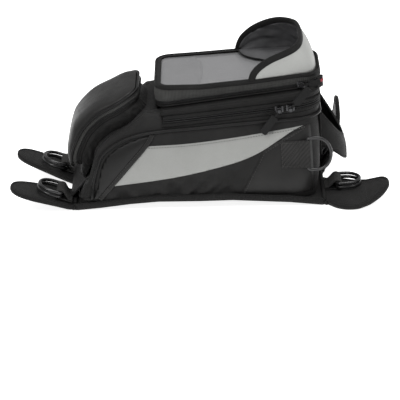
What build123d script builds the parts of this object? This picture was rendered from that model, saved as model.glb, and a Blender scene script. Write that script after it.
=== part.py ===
from build123d import *
import math
import os

# Motorcycle tank bag. +X is the front of the bike, +Y its left side, +Z up, millimetres.
# The origin is under the middle of the bag, level with the lowest edge of its base.

# ---- driving dimensions -----------------------------------------------------------------
GAP = 0.3            # air between neighbouring pieces
WALL = 3.5           # padded wall of the body
LID_WALL = 2.5       # wall of the lid
TAPE = 2.0           # zip tape and gusset thickness
WIDE = 150.0         # half-width that is wider than the whole bag

BASE_REAR = -168.0
BASE_FRONT = 167.0
BASE_THICK = 5.0
BASE_RISE = 11.0     # height of the arched middle of the base
PLATEAU = (-55.0, 45.0)

ZIP_LEVEL = 121.2    # main zip line above X = 0, and its rise towards the front
ZIP_SLOPE = 0.073
ZIP_HALF = 7.0       # half-height of the zip band
LID_REAR = -45.5
DECK_FRONT = -46.0
DECK_TOP = 130.0

POCKET_REAR = -46.0
POCKET_FRONT = 173.0
POCKET_HALF = 68.0
POCKET_FLOOR = 137.3  # pocket floor above X = 0
POCKET_FLOOR_SLOPE = 0.091
POCKET_TOP = 159.5
POCKET_TOP_SLOPE = 0.065
WINDOW_FRONT = 128.0
HOOD_HALF = 62.0

SIDE_RING_HEIGHT = 69.0

POUCH_HALF = 61.0

WEBBING = 36.0       # width of the ring webbing
RING_WIRE = 4.6
RING_HALF = 23.5     # half-width of a D-ring
RING_REACH = 33.5    # from the bar's axis to the tip of the ring
RING_SPREAD = 2.6    # each of the paired rings lies this far from their common axis
PAIR_LOOP_R = 6.9
SIDE_LOOP_R = 4.4

FLAP_THICK = 5.0
FLAP_HINGE_GAP = 3.2    # the hinge line of a flap lies this far outside the base
LEFT_FLAP_RAISED = 60.0
MAGNET = (14.0, 36.0, 2.0)  # plate sewn into the end of each flap
HANDLE_HEIGHT = 36.0
HANDLE_ANCHOR = 50.0  # half-distance between the sewn ends of the handle

# Plan outline of the body at three heights: rear X, front X, half-widths rear, middle, front.
BODY_LEVELS = [
    (0.0, -166.0, 157.0, 82.0, 100.0, 102.0),
    (35.0, -150.0, 160.0, 81.0, 98.0, 100.0),
    (160.0, -138.0, 168.0, 68.0, 77.0, 79.0),
]
FRONT_CORNER = 32.0
REAR_CORNER = 16.0

# Underside of the base, and the sloping rear deck under the pouch.
ARCH = [(BASE_REAR, 0), (-134, 3), (-93, 8), (PLATEAU[0], BASE_RISE), (PLATEAU[1], BASE_RISE),
        (121, 5.5), (BASE_FRONT, 0)]
DECK = [(-68, 128), (-92, 110), (-116, 98), (-134, 82), (-141, 60), (-146, 42)]
DECK_SHEET = 3.0

# Zip line of the rear pouch, in the plane Y = 0, from its upper front end to its lower rear end.
POUCH_ZIP = [(-67.5, 146), (-84, 132), (-138, 106), (-155, 91), (-161, 60)]
POUCH_CROWN = [(-67, 156), (-74, 161), (-88, 160), (-112, 152), (-146, 132), (-162, 114),
               (-170, 96), (-173, 60)]

PARTS = {}


def offset_z(points, dz):
    """The same points, higher by dz."""
    return [(x, z + dz) for x, z in points]


def xz_prism(points, half_width=WIDE):
    """Closed outline in the XZ plane, pushed out evenly to both sides."""
    outline = Plane.XZ * Polyline(*points, close=True)
    return extrude(make_face(outline), amount=half_width, both=True)


def plan_face(z, rear, front, w_rear, w_mid, w_front, grow, r_rear, r_front):
    """Six-cornered plan outline at height z, grown outwards, with its four outer corners rounded."""
    rear, front = rear - grow, front + grow
    right = [(rear, -w_rear - grow), (0, -w_mid - grow), (front, -w_front - grow)]
    left = [(front, w_front + grow), (0, w_mid + grow), (rear, w_rear + grow)]
    face = make_face(Polyline(*right, *left, close=True))
    rears = [v for v in face.vertices() if abs(v.X - rear) < 0.01]
    face = fillet(rears, r_rear + grow)
    fronts = [v for v in face.vertices() if abs(v.X - front) < 0.01]
    face = fillet(fronts, r_front + grow)
    return Pos(0, 0, z) * face


def body_loft(grow=0.0):
    """The leaning side walls of the body as one solid, grown outwards by the given amount."""
    faces = [plan_face(*level, grow, REAR_CORNER, FRONT_CORNER) for level in BODY_LEVELS]
    return loft(faces, ruled=True)


def skin(inner, outer, outline):
    """A flat-cut patch of covering that lies on both side walls, inside an XZ outline."""
    return (body_loft(outer) - body_loft(inner)) & xz_prism(outline)


def half_width(x, z):
    """Half-width of the body's middle wall at a point, for pieces that stand on it."""
    low, high = BODY_LEVELS[1], BODY_LEVELS[2]
    t = (z - low[0]) / (high[0] - low[0])
    mid = low[4] + t * (high[4] - low[4])
    front = low[5] + t * (high[5] - low[5])
    front_x = low[2] + t * (high[2] - low[2])
    return mid + (front - mid) * max(x, 0.0) / front_x


def zip_z(x):
    return ZIP_LEVEL + ZIP_SLOPE * x


def floor_z(x):
    return POCKET_FLOOR + POCKET_FLOOR_SLOPE * x


def top_z(x):
    return POCKET_TOP + POCKET_TOP_SLOPE * x


def slab(height, low, high, rear, front=175.0):
    """Sloping slab between two lines that run parallel to the height function."""
    return xz_prism([(rear, height(rear) + low), (front, height(front) + low),
                     (front, height(front) + high), (rear, height(rear) + high)])


def strip(points, thick):
    """XZ outline of a strip whose lower side is the given line."""
    return points + [(x, z + thick) for x, z in reversed(points)]


def trace_line(points, width):
    """XZ outline of a band of even width that follows a line."""
    upper, lower = [], []
    for i, (x, z) in enumerate(points):
        x0, z0 = points[max(i - 1, 0)]
        x1, z1 = points[min(i + 1, len(points) - 1)]
        length = math.hypot(x1 - x0, z1 - z0)
        nx, nz = -(z1 - z0) / length * width / 2, (x1 - x0) / length * width / 2
        upper.append((x + nx, z + nz))
        lower.append((x - nx, z - nz))
    return upper + lower[::-1]


def inward(points, amount):
    """A line moved to its inner (body) side by an amount."""
    moved = []
    for i, (x, z) in enumerate(points):
        x0, z0 = points[max(i - 1, 0)]
        x1, z1 = points[min(i + 1, len(points) - 1)]
        length = math.hypot(x1 - x0, z1 - z0)
        moved.append((x - (z1 - z0) / length * amount, z + (x1 - x0) / length * amount))
    return moved


# ---- base -------------------------------------------------------------------------------
def base_plan():
    """Plan outline of the base as a tall prism."""
    face = plan_face(-5, BASE_REAR, BASE_FRONT, 85, 103, 111, 0, 10, 12)
    return extrude(face, amount=60)


def make_base():
    PARTS["base_panel"] = xz_prism(strip(ARCH, BASE_THICK)) & base_plan()
    lift = BASE_THICK + GAP + WALL + GAP
    inside = body_loft(-WALL - 4) & xz_prism([(-145, 0), (150, 0), (150, 60), (-145, 60)])
    PARTS["base_stiffener"] = xz_prism(strip(offset_z(ARCH, lift), 1.5)) & inside


# ---- body -------------------------------------------------------------------------------
def make_body():
    floor = offset_z(ARCH, BASE_THICK + GAP)
    rim = ZIP_HALF + GAP
    top = [(175, zip_z(175) - rim), (DECK_FRONT, zip_z(DECK_FRONT) - rim), (DECK_FRONT, DECK_TOP)]
    outline = [(-175, floor[0][1])] + floor + [(175, floor[-1][1])]
    outline += top + DECK + [(-152, 36), (-175, 10)]
    outer = body_loft() & xz_prism(outline)
    under = offset_z(floor, WALL)
    hollow = under + [(175, under[-1][1]), (175, 200)]
    hollow += [(DECK_FRONT - DECK_SHEET, 200), (DECK_FRONT - DECK_SHEET, DECK_TOP - DECK_SHEET)]
    hollow += inward(DECK, DECK_SHEET) + [(-148, 34), (-160, 12)]
    inner = body_loft(-WALL) & xz_prism(hollow)
    PARTS["lower_shell"] = outer - inner

    band = (body_loft() - body_loft(-TAPE)) & slab(zip_z, -ZIP_HALF, -GAP, DECK_FRONT + 0.5)
    PARTS["main_zip_lower"] = band

    piping = [(163, 116), (126, 114), (6, 108.5), (-47, 105.5), (-83, 99.6), (-109, 88.5),
              (-126, 75), (-134, 58), (-140, 34)]
    sides = skin(0.15, 4.0, trace_line(piping, 4.4))
    rear_cord = Pos(-153.5, 0, 33) * Rot(90, 0, 0) * Cylinder(2.2, 124)
    PARTS["side_piping"] = sides + rear_cord

    stripe = [(-66, 86), (-10, 88), (58, 94.5), (143, 105.5), (110, 88), (80, 71),
              (43, 58.5), (-30, 44), (-114, 34)]
    PARTS["side_stripes"] = skin(0.15, 1.0, stripe)
    wedge = [(-116.5, 34), (-68, 87), (-58, 101), (-82, 95.5), (-106, 84.5), (-122, 72),
             (-129.5, 56), (-135, 34), (-142, 14), (-134, 14)]
    PARTS["rear_corner_panels"] = skin(0.15, 1.0, wedge)
    corner = [(62, 18), (66, 61), (84, 71), (112, 87), (145, 104), (150, 104), (150, 18)]
    PARTS["front_corner_panels"] = skin(0.15, 1.0, corner)


# ---- D-rings and their webbing ----------------------------------------------------------
def d_ring(bar_z=0.0):
    """D-ring lying flat: bar along Y, arch towards +X, at a height above its swing axis."""
    def dee(half, reach, back):
        arch = ThreePointArc((12, -half), (reach, 0), (12, half))
        sides = Polyline((12, half), (back, half), (back, -half), (12, -half))
        return make_face([arch, *sides.edges()])
    inner_half = RING_HALF - RING_WIRE
    outline = dee(RING_HALF, RING_REACH, -RING_WIRE / 2)
    opening = dee(inner_half, RING_REACH - RING_WIRE, -RING_WIRE)
    arch = extrude(outline - opening, RING_WIRE / 2, both=True)
    bar = Rot(90, 0, 0) * Cylinder(RING_WIRE / 2, 2 * inner_half + 2)
    return Pos(0, 0, bar_z) * (arch + bar)


def webbing_loop(radius, hole, tail):
    """Webbing wrapped round a ring's bar, with a sewn tail that lies flat behind it."""
    wrap = Rot(90, 0, 0) * Cylinder(radius, WEBBING)
    flat = Pos(-tail / 2, 0, -radius + 1.6) * Box(tail, WEBBING, 3.2)
    return (wrap + flat) - Rot(90, 0, 0) * Cylinder(hole, WEBBING + 2)


# ---- flaps ------------------------------------------------------------------------------
def flap_solid(profile, outline, side):
    """Bent flap of even thickness: XZ line extruded, cut to a plan outline on one side."""
    plan = make_face(Polyline(*[(x, side * y) for x, y in outline], close=True))
    ends = [v for v in plan.vertices() if abs(v.X) > BASE_FRONT + 5]
    plan = fillet(ends, 5)
    return xz_prism(strip(profile, FLAP_THICK)) & (Pos(0, 0, -10) * extrude(plan, amount=80))


def make_flap(name, side, front):
    """One strap flap with the magnet plate in its end, its webbing loop and its pair of rings."""
    if front:
        line = [(BASE_FRONT + FLAP_HINGE_GAP, 0.5), (216, 0.8), (252, 18)]
        plan = [(BASE_FRONT + FLAP_HINGE_GAP, 22), (185, 24), (205, 33), (228, 50), (245, 64),
                (252, 82), (251, 104), (240, 121), (220, 134), (200, 136), (182, 126),
                (BASE_FRONT + FLAP_HINGE_GAP, 110)]
        bar = (186.0, side * 52.0, 5.6)
        tilt = 0.0
        magnet_at = (232, side * 92, 8.6 + FLAP_THICK / 2)
        magnet_tilt = -math.degrees(math.atan2(17.2, 36))
        heading = 0
    else:
        line = [(BASE_REAR - FLAP_HINGE_GAP, 0.5), (-252, 30)]
        plan = [(BASE_REAR - FLAP_HINGE_GAP, 19), (-190, 23), (-214, 33), (-238, 43), (-249, 55),
                (-252, 68), (-251, 80), (-243, 91), (-225, 93), (-195, 88),
                (BASE_REAR - FLAP_HINGE_GAP, 84)]
        slope = math.atan2(29.5, 252 + BASE_REAR - FLAP_HINGE_GAP)
        bar = (-189.0, side * 58.0, 0.5 + 20.6 * math.tan(slope) + FLAP_THICK / math.cos(slope))
        tilt = -math.degrees(slope)
        magnet_at = (-238, side * 68, 0.5 + 69.6 * math.tan(slope) + FLAP_THICK / 2)
        magnet_tilt = math.degrees(slope)
        heading = 180
    place = Pos(*magnet_at) * Rot(0, magnet_tilt, 0)
    magnet = place * Box(*MAGNET)
    pocket = place * Box(*[size + 2 * GAP for size in MAGNET])
    pieces = {
        name + "_flap": flap_solid(line, plan, side) - pocket,
        name + "_flap_magnet": magnet,
    }
    seat = Pos(*bar) * Rot(0, 0, heading) * Rot(0, tilt, 0) * Pos(0, 0, PAIR_LOOP_R + GAP)
    pieces[name + "_flap_loop"] = seat * webbing_loop(PAIR_LOOP_R, RING_SPREAD + RING_WIRE / 2 + 0.4, 13)
    pieces[name + "_ring_lower"] = seat * d_ring(-RING_SPREAD)
    pieces[name + "_ring_upper"] = seat * d_ring(RING_SPREAD)
    raised = Location()
    if front and side > 0:
        hinge_x, hinge_z = BASE_FRONT + FLAP_HINGE_GAP, 0.5 + FLAP_THICK / 2
        raised = Pos(hinge_x, 0, hinge_z) * Rot(0, -LEFT_FLAP_RAISED, 0) * Pos(-hinge_x, 0, -hinge_z)
    for key, piece in pieces.items():
        PARTS[key] = raised * piece


def make_side_rings():
    """The webbing patches and single D-rings on the two side walls, near the front."""
    patches = []
    for name, side in (("right", -1), ("left", 1)):
        z = SIDE_RING_HEIGHT
        lean = math.degrees(math.atan2(21, 125))
        wall = half_width(148, z) + 1.0
        seat = Pos(147, side * (wall + SIDE_LOOP_R + GAP), z) * Rot(side * (lean - 90), 0, 0)
        PARTS[name + "_side_ring"] = seat * d_ring()
        loop = webbing_loop(SIDE_LOOP_R, RING_WIRE / 2 + 0.3, 38)
        patches.append(seat * loop)
    PARTS["side_webbings"] = Compound(children=patches)


# ---- front handle -----------------------------------------------------------------------
def make_handle():
    a = HANDLE_ANCHOR
    x0 = 172.0
    outer = ThreePointArc((x0, -a + 0.5), (x0 + 32, 0), (x0, a - 0.5))
    inner = ThreePointArc((x0, -a + 3.5), (x0 + 29, 0), (x0, a - 3.5))
    ends = [Line((x0, s * (a - 0.5)), (x0, s * (a - 3.5))) for s in (-1, 1)]
    crescent = extrude(make_face([outer, inner, *ends]), amount=150)
    top = 62 + HANDLE_HEIGHT
    band = xz_prism([(171, 62), (171, top), (205, top - 21), (205, 62 - 21)])
    PARTS["front_handle"] = crescent & band
    patch = xz_prism([(166.5, 63), (169, 63), (169, top - 1), (166.5, top - 1)], a + 14)
    middle = xz_prism([(160, 50), (180, 50), (180, 110), (160, 110)], a)
    PARTS["handle_anchors"] = patch - middle


# ---- lid and map pocket -----------------------------------------------------------------
def pocket_plan(inset=0.0):
    face = plan_face(100, POCKET_REAR, POCKET_FRONT, POCKET_HALF - 2, POCKET_HALF, POCKET_HALF,
                     -inset, 14, 26)
    return extrude(face, amount=110)


def pocket_ring(inset, width):
    return pocket_plan(inset) - pocket_plan(inset + width)


def make_lid():
    rim = ZIP_HALF + GAP
    outside = [(LID_REAR, zip_z(LID_REAR) + rim), (175, zip_z(175) + rim), (175, floor_z(175)),
               (LID_REAR, floor_z(LID_REAR))]
    inside = [(LID_REAR + 2, 90), (175, 90), (175, floor_z(175) - LID_WALL),
              (LID_REAR + 2, floor_z(LID_REAR + 2) - LID_WALL)]
    PARTS["lid_shell"] = (body_loft() & xz_prism(outside)) - (body_loft(-LID_WALL) & xz_prism(inside))
    PARTS["main_zip_upper"] = (body_loft() - body_loft(-TAPE)) & slab(zip_z, GAP, ZIP_HALF, LID_REAR)

    PARTS["pocket_back"] = pocket_plan() & slab(floor_z, GAP, 1.8, -60)
    PARTS["pocket_zip_lower"] = pocket_ring(0, TAPE) & slab(floor_z, 1.8 + GAP, 6.0, -60)
    divider = pocket_plan(5) & xz_prism([(-60, 0), (-2, 0), (-2, 300), (-60, 300)])
    PARTS["map_divider"] = divider & slab(top_z, -6.0, -5.0, -60)
    PARTS["pocket_tab"] = Pos(169.2, -59.6, 152) * Rot(0, 0, -35) * Box(3, 12, 12)


def make_pocket_lid():
    window = [(-60, 0), (WINDOW_FRONT, 0), (WINDOW_FRONT, 300), (-60, 300)]
    hole = pocket_plan(9) & xz_prism(window)
    gusset = [(-60, floor_z(-60) + 6.4), (175, floor_z(175) + 6.4), (175, top_z(175) - 3),
              (-60, top_z(-60) - 3)]
    PARTS["pocket_zip_upper"] = pocket_ring(0, TAPE) & xz_prism(gusset)
    frame = pocket_plan() & slab(top_z, -3 + GAP / 2, 0, -60)
    PARTS["pocket_frame"] = frame - hole
    behind = [(-60, 0), (WINDOW_FRONT + 3, 0), (WINDOW_FRONT + 3, 300), (-60, 300)]
    pane = pocket_plan(6) & xz_prism(behind)
    PARTS["window_pane"] = pane & slab(top_z, -4.0, -3.2, -60)
    edge = [(-60, 0), (WINDOW_FRONT + 4, 0), (WINDOW_FRONT + 4, 300), (-60, 300)]
    rim = (pocket_plan(5) & xz_prism(edge)) - hole
    PARTS["window_binding"] = rim & slab(top_z, GAP / 2, 1.5, -60)


def make_hood():
    """Sun hood: a front panel that folds, its bound free edge, and two soft side gussets."""
    front = [(171.6, 173), (173.2, 173), (151.6, 211.6), (137.2, 219.8), (136.4, 218.4), (150.4, 210.4)]
    PARTS["hood_panel"] = xz_prism(front, HOOD_HALF)
    edge = [(136.2, 220), (128, 223), (127.2, 221), (135.6, 218.2)]
    PARTS["hood_binding"] = xz_prism(edge, HOOD_HALF - 2)
    side = [(64, top_z(64) + 2.2), (169, top_z(169) + 2.2), (148, 208), (133, 216)]
    wings = xz_prism(side, HOOD_HALF + 3) - xz_prism(side, HOOD_HALF + 1)
    PARTS["hood_gussets"] = wings


# ---- rear pouch -------------------------------------------------------------------------
def pouch_body(points, inset=0.0):
    """XZ outline pushed out to the pouch's width, less an inset."""
    return xz_prism(points, POUCH_HALF - inset)


def make_pouch():
    seat = inward(DECK, -GAP)
    seat[0] = (-68, 128.4)
    tub_rim = inward(POUCH_ZIP, 6.0)
    tub = [(-66.5, 128.6)] + [(-66.5, tub_rim[0][1] - 3.0)] + tub_rim[1:] + [(-152, 44)] + seat[::-1]
    hollow = [(-69, 133), (-69, 190)] + [(-180, 190), (-180, 66), (-152.5, 60)]
    hollow += [(x, z) for x, z in inward(DECK, -2.8)[3::-1]]
    PARTS["pouch_tub"] = pouch_body(tub) - pouch_body(hollow, TAPE)
    lower = trace_line(inward(POUCH_ZIP, 3.1), 5.0)
    upper = trace_line(inward(POUCH_ZIP, -3.1), 5.0)
    room = [(-69, 100), (-69, 190), (-190, 190), (-190, 62), (-158, 62), (-130, 100)]
    clear = xz_prism(room, POUCH_HALF - TAPE)
    PARTS["pouch_zip_lower"] = pouch_body(lower) - clear
    PARTS["pouch_zip_upper"] = pouch_body(upper) - clear
    line = inward(POUCH_ZIP, -6.1)
    shell = line + POUCH_CROWN[::-1]
    inside = inward(line, 1.0) + inward(POUCH_CROWN, 2.5)[::-1][1:-1]
    PARTS["pouch_cover"] = pouch_body(shell) - pouch_body(inside, 2.5)
    seam = trace_line(inward(POUCH_ZIP, -9.0), 3.0)
    PARTS["pouch_piping"] = xz_prism(seam, POUCH_HALF + 3) - xz_prism(
        [(-60, 50), (-60, 190), (-190, 190), (-190, 50)], POUCH_HALF + GAP / 2)


# ---- zip sliders and pulls --------------------------------------------------------------
def make_slider(name, x, y, z, side, turn, pull_length, pull_width, pull_out):
    """Slider with a stub pin that points away from the wall, and the pull that swings on it."""
    out = Pos(x, y, z) * Rot(-side * 90, 0, 0)
    plate = Pos(0, 0, 1.7) * Box(11, 8, 2.6)
    pin = Pos(0, 0, pull_out / 2 + 2) * Cylinder(1.2, pull_out + 4)
    head = Pos(0, 0, pull_out + 4.2) * Cylinder(2.2, 1.2)
    PARTS[name + "_slider"] = out * (plate + pin + head)
    eye = Cylinder(3.2, 3.0) - Cylinder(1.27, 4)
    shank = Pos(6.5, 0, 0) * Box(8, 2.6, 2.2)
    grip = Pos(10 + (pull_length - 10) / 2, 0, 0) * Box(pull_length - 10, pull_width, 3.6)
    grip = fillet(grip.edges().filter_by(Axis.Z), 2.0)
    shank -= Cylinder(2.6, 6)
    pull = eye + shank + grip
    PARTS[name + "_pull"] = out * Pos(0, 0, pull_out + 1.7) * Rot(0, 0, turn) * pull


def make_sliders():
    for name, x, turn in (("rear_main", 112, -128), ("front_main", 127, 48)):
        z = zip_z(x)
        make_slider(name, x, -half_width(x, z) - 0.8, z, -1, turn, 38, 10, 8.5)
    make_slider("pocket", 143, -POCKET_HALF - 0.4, floor_z(143) + 6.2, -1, 8, 26, 7, 3.0)
    make_slider("pouch", -108, POUCH_HALF + 0.4, 121, 1, 148, 30, 9, 3.0)


def write_parts():
    os.makedirs("parts", exist_ok=True)
    for name, piece in PARTS.items():
        export_step(piece, f"parts/{name}.step")


make_base()
make_body()
for flap_name, flap_side, at_front in (("front_right", -1, True), ("front_left", 1, True),
                                       ("rear_right", -1, False), ("rear_left", 1, False)):
    make_flap(flap_name, flap_side, at_front)
make_side_rings()
make_handle()
make_lid()
make_pocket_lid()
make_hood()
make_pouch()
make_sliders()
write_parts()
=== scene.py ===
import math

import bmesh
import bpy
import numpy as np
from mathutils import Matrix, Vector, noise


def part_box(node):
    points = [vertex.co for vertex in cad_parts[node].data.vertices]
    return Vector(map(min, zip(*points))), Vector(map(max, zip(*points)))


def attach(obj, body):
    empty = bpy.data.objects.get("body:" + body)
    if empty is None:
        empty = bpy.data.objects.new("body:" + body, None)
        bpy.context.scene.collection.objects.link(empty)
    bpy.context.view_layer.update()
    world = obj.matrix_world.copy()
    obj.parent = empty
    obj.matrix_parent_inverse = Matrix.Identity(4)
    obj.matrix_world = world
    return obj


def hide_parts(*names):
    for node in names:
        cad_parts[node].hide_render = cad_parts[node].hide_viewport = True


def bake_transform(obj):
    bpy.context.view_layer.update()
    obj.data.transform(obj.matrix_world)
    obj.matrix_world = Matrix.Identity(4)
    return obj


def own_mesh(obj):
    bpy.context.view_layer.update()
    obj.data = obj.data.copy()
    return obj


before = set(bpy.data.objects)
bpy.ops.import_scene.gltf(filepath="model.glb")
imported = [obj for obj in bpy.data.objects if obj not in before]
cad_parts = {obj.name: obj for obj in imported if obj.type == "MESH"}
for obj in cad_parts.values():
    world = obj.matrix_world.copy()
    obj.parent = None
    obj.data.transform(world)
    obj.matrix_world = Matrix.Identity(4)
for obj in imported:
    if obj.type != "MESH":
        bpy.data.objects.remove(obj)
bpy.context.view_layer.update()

# Motorcycle tank bag. Sizes are in millimetres in the bag's own frame: +X to the front of the
# motorcycle, +Y to its left, +Z up. MM turns them into the scene's metres.
MM = 0.001

# ---- driving sizes ----------------------------------------------------------------------
BASE_REAR, BASE_FRONT, BASE_THICK = -168.0, 167.0, 5.0
# Lines in X and Z: the arched underside, and the deck under the pouch.
ARCH = [(-175, 0), (-168, 0), (-134, 3), (-93, 8), (-55, 11), (45, 11), (121, 5.5), (167, 0), (175, 0)]
DECK = [(-300, 12), (-175, 12), (-152, 36), (-146, 42), (-141, 60), (-134, 82), (-116, 98), (-92, 110),
        (-68, 128), (-46, 130)]
# Height, rear X, front X, and half-width at the rear, in the middle and at the front.
LEVELS = [(0, -166, 157, 82, 100, 102), (35, -150, 160, 81, 98, 100), (160, -138, 168, 68, 77, 79)]
REAR_CORNER, FRONT_CORNER = 16.0, 32.0
LID_REAR = -45.5
ZIP_HALF = 7.0
# Lines in X and Z on the side wall.
PIPING = [(163, 116), (126, 114), (62, 111.5), (6, 108.5), (-47, 105.5), (-83, 99.6), (-109, 88.5),
          (-126, 75), (-134, 58), (-140, 34)]
STRIPE = [(-66, 86.5), (-10, 88.5), (58, 94.5), (143, 105.5), (128, 99), (110, 88), (80, 71), (43, 58.5),
          (-30, 44), (-115, 33)]
# Rear X, front X, half-width, rear and front corner radii.
POCKET = (-51.5, 168.5, 68.0, 20.0, 34.0)
WINDOW = (-45.0, 128.0, 60.5, 12.0, 6.0)
POUCH_LENGTH, POUCH_FRONT_ROUND, POUCH_REAR_ROUND = 143.0, 28.0, 14.0
FLAP_HINGE = 3.2
RING_HALF, RING_REACH, WIRE = 23.5, 33.5, 4.6
RAISED = math.radians(60.0)
HANDLE_WALL, HANDLE_HALF, HANDLE_REACH = 164.0, 50.0, 39.0


def zip_z(x):
    return 121.2 + 0.073 * x


def floor_z(x):
    return 137.3 + 0.091 * x


def top_z(x, y=0.0):
    near = np.interp(x, [-50, 8, 75, 142, 175], [161.5, 159.5, 163.5, 169.5, 167])
    far = np.interp(x, [-50, 10, 62, 130, 175], [165, 166.5, 168.5, 169.5, 164])
    return float(mix(near, far, (y + 68) / 136))


def along(points, x):
    """Height of an XZ line at X."""
    return float(np.interp(x, [p[0] for p in points], [p[1] for p in points]))


def at(x, y, z):
    return Vector((x, y, z)) * MM


def mix(a, b, t):
    return a + (b - a) * t


def eased(t):
    """Share that moves slowly near both ends."""
    return 0.5 - 0.5 * math.cos(math.pi * t)


def corner_cut(distance, radius):
    """How far a round corner pulls in at a distance from the end."""
    if distance >= radius:
        return 0.0
    return radius - math.sqrt(max(0, radius * radius - (radius - distance) ** 2))


def smooth(points, count, closed=False):
    """Evenly spaced points on a soft curve through the given ones."""
    p = np.array([list(q) for q in points], float)
    n = len(p)
    fine = []
    for i in range(n if closed else n - 1):
        if closed:
            a, b, c, d = (p[(i + k) % n] for k in (-1, 0, 1, 2))
        else:
            a, b, c, d = (p[min(max(i + k, 0), n - 1)] for k in (-1, 0, 1, 2))
        for t in np.linspace(0, 1, 16, endpoint=False):
            fine.append(0.5 * (2 * b + (c - a) * t + (2 * a - 5 * b + 4 * c - d) * t * t
                               + (3 * b - a - 3 * c + d) * t ** 3))
    fine.append(p[0] if closed else p[-1])
    fine = np.array(fine)
    run = np.concatenate([[0], np.cumsum(np.linalg.norm(np.diff(fine, axis=0), axis=1))])
    wanted = np.linspace(0, run[-1], count + 1 if closed else count)
    out = np.stack([np.interp(wanted, run, fine[:, k]) for k in range(p.shape[1])], 1)
    return out[:-1] if closed else out


# ---- finishes ---------------------------------------------------------------------------
def node(tree, kind, **values):
    made = tree.nodes.new(kind)
    for key, value in values.items():
        if key in made.inputs.keys():
            made.inputs[key].default_value = value
        else:
            setattr(made, key, value)
    return made


def finish_of(name, colour, rough, pattern="plain", pitch=1.2, depth=0.25, sheen=0.0, metal=0.0, coat=0.0,
              vary=0.22, on="UV", cloudy=26.0, specular=0.15, alpha=1.0, angle=0.0):
    """A finish with cloudy colour, uneven gloss, and a fine relief of the named pattern."""
    material = bpy.data.materials.new(name)
    material.use_nodes = True
    tree = material.node_tree
    shader = tree.nodes["Principled BSDF"]
    shader.inputs["Metallic"].default_value = metal
    shader.inputs["Sheen Weight"].default_value = sheen
    shader.inputs["Sheen Roughness"].default_value = 0.45
    shader.inputs["Coat Weight"].default_value = coat
    shader.inputs["Coat Roughness"].default_value = 0.2
    shader.inputs["Specular IOR Level"].default_value = specular
    shader.inputs["Alpha"].default_value = alpha
    link = tree.links.new
    spots = node(tree, "ShaderNodeTexCoord")
    place = spots.outputs["Object"]
    cloud = node(tree, "ShaderNodeTexNoise", Scale=cloudy, Detail=5.0, Roughness=0.6)
    link(place, cloud.inputs["Vector"])
    ramp = node(tree, "ShaderNodeValToRGB")
    ramp.color_ramp.elements[0].position = 0.3
    ramp.color_ramp.elements[1].position = 0.7
    ramp.color_ramp.elements[0].color = [c * (1 - vary) for c in colour] + [1]
    ramp.color_ramp.elements[1].color = [min(1, c * (1 + vary)) for c in colour] + [1]
    link(cloud.outputs["Fac"], ramp.inputs["Fac"])
    colour_out = ramp.outputs["Color"]
    speck = node(tree, "ShaderNodeTexNoise", Scale=900.0, Detail=3.0)
    link(place, speck.inputs["Vector"])
    wear = node(tree, "ShaderNodeTexNoise", Scale=90.0, Detail=4.0)
    link(place, wear.inputs["Vector"])
    gloss = node(tree, "ShaderNodeMapRange")
    gloss.inputs["To Min"].default_value = max(0.03, rough - 0.09)
    gloss.inputs["To Max"].default_value = min(1, rough + 0.09)
    link(wear.outputs["Fac"], gloss.inputs["Value"])
    link(gloss.outputs["Result"], shader.inputs["Roughness"])
    height = speck.outputs["Fac"]
    source = spots.outputs["UV"] if on == "UV" else place
    turned = node(tree, "ShaderNodeMapping")
    turned.inputs["Rotation"].default_value = (0, 0, angle)
    link(source, turned.inputs["Vector"])
    source = turned.outputs["Vector"]

    def bands(direction, step):
        made = node(tree, "ShaderNodeTexWave", bands_direction=direction, Scale=0.314 / (step * MM),
                    Distortion=0.6, Detail=1.0)
        made.inputs["Detail Scale"].default_value = 0.4
        link(source, made.inputs["Vector"])
        return made.outputs["Fac"]

    def join(a, b, how="MULTIPLY"):
        made = node(tree, "ShaderNodeMath", operation=how)
        link(a, made.inputs[0])
        link(b, made.inputs[1])
        return made.outputs[0]

    if pattern == "weave":
        threads = join(bands("X", pitch), bands("Y", pitch), "MAXIMUM")
        height = join(threads, speck.outputs["Fac"], "ADD")
    elif pattern == "ribs":
        threads = bands("X", pitch)
        height = join(join(threads, bands("Y", pitch * 0.45), "ADD"), speck.outputs["Fac"], "ADD")
    elif pattern == "twill":
        threads = join(bands("DIAGONAL", pitch), bands("X", pitch * 0.5), "ADD")
        height = join(threads, speck.outputs["Fac"], "ADD")
    elif pattern == "grain":
        cells = node(tree, "ShaderNodeTexVoronoi", feature="SMOOTH_F1", Scale=1 / (pitch * MM))
        cells.inputs["Smoothness"].default_value = 0.7
        link(place, cells.inputs["Vector"])
        threads = cells.outputs["Distance"]
        height = join(threads, speck.outputs["Fac"], "ADD")
    if pattern in ("weave", "ribs", "twill"):
        shade = node(tree, "ShaderNodeMapRange")
        shade.inputs["To Min"].default_value = 0.45 if pattern == "twill" else 0.65
        shade.inputs["To Max"].default_value = 1.5 if pattern == "twill" else 1.25
        link(threads, shade.inputs["Value"])
        tint = node(tree, "ShaderNodeMix", data_type="RGBA", blend_type="MULTIPLY")
        tint.inputs[0].default_value = 1.0
        link(colour_out, tint.inputs[6])
        link(shade.outputs["Result"], tint.inputs[7])
        colour_out = tint.outputs[2]
    link(colour_out, shader.inputs["Base Color"])
    bump = node(tree, "ShaderNodeBump", Strength=depth, Distance=0.3 * MM)
    link(height, bump.inputs["Height"])
    link(bump.outputs["Normal"], shader.inputs["Normal"])
    return material


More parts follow.
